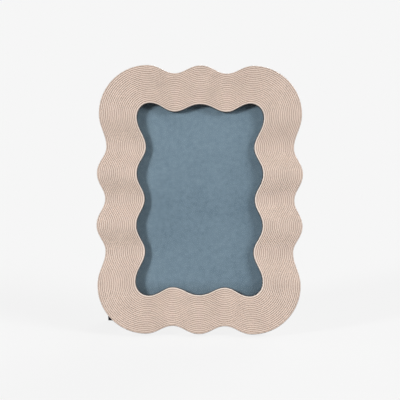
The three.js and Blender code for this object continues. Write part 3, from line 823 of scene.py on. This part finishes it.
def makeFastenerTree():
    tree, given = newTree("fastenersInPlace", [
        ("Places", "Geometry"), ("Fastener", "Object"), ("Seed", "Int"), ("Material", "Material")])
    shape = addNode(tree, "GeometryNodeObjectInfo", {"Object": given["Fastener"]})["Geometry"]
    angle = addNode(tree, "FunctionNodeRandomValue", {3: 2 * math.pi, 8: given["Seed"]})[1]
    spin = addNode(tree, "FunctionNodeAxisAngleToRotation", {"Axis": (0, 0, 1), "Angle": angle})[0]
    copies = addNode(tree, "GeometryNodeInstanceOnPoints", {
        "Points": given["Places"], "Instance": shape, "Rotation": spin})[0]
    plain = addNode(tree, "GeometryNodeRealizeInstances", {0: copies})[0]
    painted = addNode(tree, "GeometryNodeSetMaterial", {"Geometry": plain, "Material": given["Material"]})[0]
    addNode(tree, "NodeGroupOutput", {0: painted})
    return tree


def buildFasteners(name, shape, headHeight, axes, body, nodes):
    spots = []
    for node in nodes:
        low, high = boxOn(axes, node)
        spots.append(((low.x + high.x) / 2, (low.y + high.y) / 2, low.z + headHeight))
    mesh = bpy.data.meshes.new(name)
    mesh.from_pydata(spots, [], [])
    piece = addObject(name, mesh)
    setInputs(piece, fastenerTree, {
        "Fastener": shape, "Seed": fastenerValues["seed"], "Material": zincPlatedWire})
    place(piece, axes, zincPlatedWire, body, "screw_steel", *nodes)


def fastenerShape(kind):
    values = {name: value * mm for name, value in fastenerValues[kind].items()}
    name = kind + "Shape"
    return addObject(name, turnedMesh(name, fastenerProfile(**values), fastenerValues["steps"]))


fastenerTree = makeFastenerTree()
screwShape, rivetShape = fastenerShape("screw"), fastenerShape("rivet")
cutter = crossCutter("crossRecess")
setModifier(screwShape, "BOOLEAN", operation="DIFFERENCE", solver="EXACT", object=cutter)
smoothByAngle(settleInPlace(screwShape))
screwHead, rivetHead = [fastenerValues[kind]["height"] * mm for kind in ("screw", "rivet")]
screwNodes = ["button_screw_" + side for side in sides]
buildFasteners("buttonScrews", screwShape, screwHead, standing, "frame", screwNodes)
buildFasteners("boardRivets", rivetShape, rivetHead, hingeAxes, "frame", ["board_rivet_1", "board_rivet_2"])
buildFasteners("strutRivets", rivetShape, rivetHead, strutAxes, "strut", ["strut_rivet_1", "strut_rivet_2"])
discard(screwShape, rivetShape, cutter)
print("screws and rivets made")

# Hinge: two leaves of sheet steel whose knuckles curl round one pin (mm)
hingeValues = {
    "leafThickness": 0.8, "outerKnuckle": 6.5, "knuckleGap": 0.4, "curlSteps": 30, "edge": 0.12,
    "curlDip": 0.6,  # how far the end of the curl closes on its own leaf, as a share
    "heelLap": 3, "heelInset": 1, "seatGap": 0.3, "boreFit": 0.3,
    "pinHeadThickness": 0.8, "pinEase": 0.25, "pinEaseCut": 0.3, "pinSteps": 32,
}


# Sheet as a grid on its outer face: along the leaf, then round the pin where a knuckle is
def leafObject(name, node, axes, knuckles):
    values = hingeValues
    low, high = boxOn(axes, node)
    radius = -low.z
    clear = radius + values["knuckleGap"] * mm
    flat = [(low.y, -radius), (-clear, -radius)]
    inside = math.asin((radius - values["leafThickness"] * mm) / radius)
    curlEnd = math.pi + inside * values["curlDip"]
    curl = [(0, -radius)] + arc(0, 0, radius, -math.pi / 2, curlEnd, values["curlSteps"])[1:]
    stations = sorted({low.x, high.x, *[end for span in knuckles for end in span]})
    work = bmesh.new()
    grid = [[work.verts.new((x, y, z)) for y, z in flat + curl] for x in stations]
    for left, right, start, end in zip(grid, grid[1:], stations, stations[1:]):
        middle = (start + end) / 2
        curled = any(first < middle < last for first, last in knuckles)
        for step in range(len(flat + curl) - 1 if curled else len(flat) - 1):
            work.faces.new((left[step], left[step + 1], right[step + 1], right[step]))
    bmesh.ops.delete(work, geom=[vert for vert in work.verts if not vert.link_faces], context="VERTS")
    piece = addObject(name, meshFrom(work, name))
    setModifier(piece, "SOLIDIFY", thickness=values["leafThickness"] * mm, offset=-1, use_even_offset=True)
    return piece


# The heel behind the strut's knuckle, which meets the board leaf when the strut is open
def heelObject(radius, width):
    values = hingeValues
    sheet = values["leafThickness"] * mm
    half = width / 2 - values["heelInset"] * mm
    root, tip = radius - sheet / 2, radius + (values["knuckleGap"] + values["heelLap"]) * mm
    face = radius - sheet - values["seatGap"] * mm
    opened = Matrix.Rotation(-facing.angle(strutFacing), 3, "X")
    work = bmesh.new()
    lower, upper = [[work.verts.new(opened @ Vector((x, y, z))) for x, y in (
        (-half, root), (half, root), (half, tip), (-half, tip))] for z in (face - sheet, face)]
    closeRings(work, lower, upper)
    return addObject("stopHeel", meshFrom(work, "stopHeel"))


def finishLeaf(piece, axes, body, node):
    weldMesh(settleInPlace(piece))
    easeEdges(piece, hingeValues["edge"] * mm)
    place(piece, axes, zincPlatedSheet, body, "plated_steel", node)


leafLow, leafHigh = boxOn(boardLeafAxes, "hinge_board_leaf")
knuckleRadius = -leafLow.z
outerKnuckle = hingeValues["outerKnuckle"] * mm
knuckleStep = outerKnuckle + hingeValues["knuckleGap"] * mm
boardLeaf = leafObject("hingeBoardLeaf", "hinge_board_leaf", boardLeafAxes, [
    (leafLow.x, leafLow.x + outerKnuckle), (leafHigh.x - outerKnuckle, leafHigh.x)])
finishLeaf(boardLeaf, boardLeafAxes, "frame", "hinge_board_leaf")
middleKnuckle = (leafLow.x + knuckleStep, leafHigh.x - knuckleStep)
strutLeaf = leafObject("hingeStrutLeaf", "hinge_strut_leaf", strutAxes, [middleKnuckle])
heel = heelObject(knuckleRadius, middleKnuckle[1] - middleKnuckle[0])
setModifier(strutLeaf, "BOOLEAN", operation="UNION", solver="EXACT", object=heel)
finishLeaf(strutLeaf, strutAxes, "strut", "hinge_strut_leaf")
discard(heel)


def buildPin(knuckle):
    values = hingeValues
    low, high = boxOn(hingeAxes, "hinge_pin")
    head = (high.z - low.z) / 2
    shank = knuckle - (values["leafThickness"] + values["boreFit"]) * mm
    ease = values["pinEase"] * mm
    cut = values["pinEaseCut"] * ease
    end, neck = high.x, high.x - values["pinHeadThickness"] * mm
    half = [(0, end), (head - ease, end), (head - cut, end - cut),
            (head, end - ease), (head, neck), (shank, neck)]
    profile = half + [(radius, -height) for radius, height in reversed(half)]
    piece = addObject("hingePin", turnedMesh("hingePin", profile, values["pinSteps"]))
    turned = hingeAxes @ Matrix.Rotation(math.pi / 2, 4, "Y")
    place(piece, turned, zincPlatedWire, "frame", "screw_steel", "hinge_pin")


buildPin(knuckleRadius)

# Strut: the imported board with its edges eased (mm)
strutValues = {"edge": 0.35}


def buildStrut():
    mesh = frame["nodes"]["easel_strut"].data.copy()
    mesh.name = "easelStrut"
    work = bmesh.new()
    work.from_mesh(mesh)
    bmesh.ops.remove_doubles(work, verts=work.verts, dist=weld)
    bmesh.ops.dissolve_limit(work, angle_limit=flatAngle, verts=work.verts, edges=work.edges)
    work.to_mesh(mesh)
    work.free()
    smoothByAngle(mesh)
    mesh.materials.clear()
    piece = addObject("easelStrut", mesh)
    easeEdges(piece, strutValues["edge"] * mm)
    place(piece, Matrix.Identity(4), blackFlockedBoard, "strut", "flocked_board", "easel_strut")


buildStrut()
print("hinge and strut made")

# Studio: pale board under the frame, two front lights, one behind, even light all round (floor in metres).
# The board counts as grey for bounced light, so that it lifts the undersides only a little
studioValues = {
    "pale": "#F6F6F6", "glow": "#F9F9F9", "unseen": "#646464",
    "floorGlow": 0.88, "floorHalf": 14, "ambient": 0.11,
    "lights": {
        "keyLight": {"towards": (-1.0, 0.28, 1), "share": 0.53, "angle": 12.5},
        "fillLight": {"towards": (1.2, 0.66, 1), "share": 0.37, "angle": 28},
        "backLight": {"towards": (0.45, 0.5, -1), "share": 0.5, "angle": 40},
    },
}


# 1 for what the camera sees, in mirrors and through glass too
def seenRay(tree):
    path = addNode(tree, "ShaderNodeLightPath")
    either = addNode(tree, "ShaderNodeMath", {
        0: path["Is Camera Ray"], 1: path["Is Glossy Ray"]}, operation="MAXIMUM")[0]
    return addNode(tree, "ShaderNodeMath", {
        0: either, 1: path["Is Transmission Ray"]}, operation="MAXIMUM")[0]


def buildStudio():
    values = studioValues
    half = values["floorHalf"]
    mesh = bpy.data.meshes.new("studioFloor")
    corners = [(-half, -half, 0), (half, -half, 0), (half, half, 0), (-half, half, 0)]
    mesh.from_pydata(corners, [], [(0, 1, 2, 3)])
    floor = addObject("studioFloor", mesh)
    material, tree = newMaterial("mattWhiteStudioBoard")
    shown = addNode(tree, "ShaderNodeBsdfDiffuse", {"Color": linear(values["pale"])})[0]
    glow = addNode(tree, "ShaderNodeEmission", {"Color": linear(values["glow"])})[0]
    seen = addNode(tree, "ShaderNodeMixShader", {0: values["floorGlow"], 1: shown, 2: glow})[0]
    unseen = addNode(tree, "ShaderNodeBsdfDiffuse", {"Color": linear(values["unseen"])})[0]
    surface = addNode(tree, "ShaderNodeMixShader", {0: seenRay(tree), 1: unseen, 2: seen})[0]
    addNode(tree, "ShaderNodeOutputMaterial", {0: surface})
    mesh.materials.append(material)
    world = bpy.data.worlds.new("studioLight")
    world.use_nodes = True
    sky = world.node_tree
    sky.nodes.clear()
    even = addNode(sky, "ShaderNodeBackground", {"Strength": values["ambient"]})[0]
    backdrop = addNode(sky, "ShaderNodeBackground", {"Color": linear(values["pale"])})[0]
    mixed = addNode(sky, "ShaderNodeMixShader", {0: seenRay(sky), 1: even, 2: backdrop})[0]
    addNode(sky, "ShaderNodeOutputWorld", {0: mixed})
    bpy.context.scene.world = world
    for name, lamp in values["lights"].items():
        towards = Vector(lamp["towards"])
        light = bpy.data.lights.new(name, "SUN")
        light.angle = math.radians(lamp["angle"])
        light.energy = lamp["share"] * math.pi * towards.length / abs(towards.z)
        holder = addObject(name, light)
        holder.rotation_euler = (standing.to_3x3() @ towards).to_track_quat("Z", "Y").to_euler()


# Camera square to the leaning face, with a hair of roll (metres, pixels and degrees)
cameraValues = {
    "distance": 4.0, "farthest": 100, "pixels": 400, "pixelsPerMillimetre": 1.305,
    "shift": (0.25, -0.26), "roll": 0.45,
}


def buildCamera():
    values = cameraValues
    camera = bpy.data.cameras.new("photoCamera")
    width = values["pixels"] / values["pixelsPerMillimetre"] * mm
    camera.lens = camera.sensor_width * values["distance"] / width
    camera.shift_x, camera.shift_y = [pixels / values["pixels"] for pixels in values["shift"]]
    camera.clip_end = values["farthest"]
    holder = addObject("photoCamera", camera)
    roll = Matrix.Rotation(math.radians(values["roll"]), 4, "Z")
    holder.matrix_world = standing @ Matrix.Translation((0, 0, frameSize.z + values["distance"])) @ roll
    bpy.context.scene.camera = holder


buildStudio()
buildCamera()
bpy.context.scene.view_settings.view_transform = "Standard"
print("studio ready")

print("pieces placed")
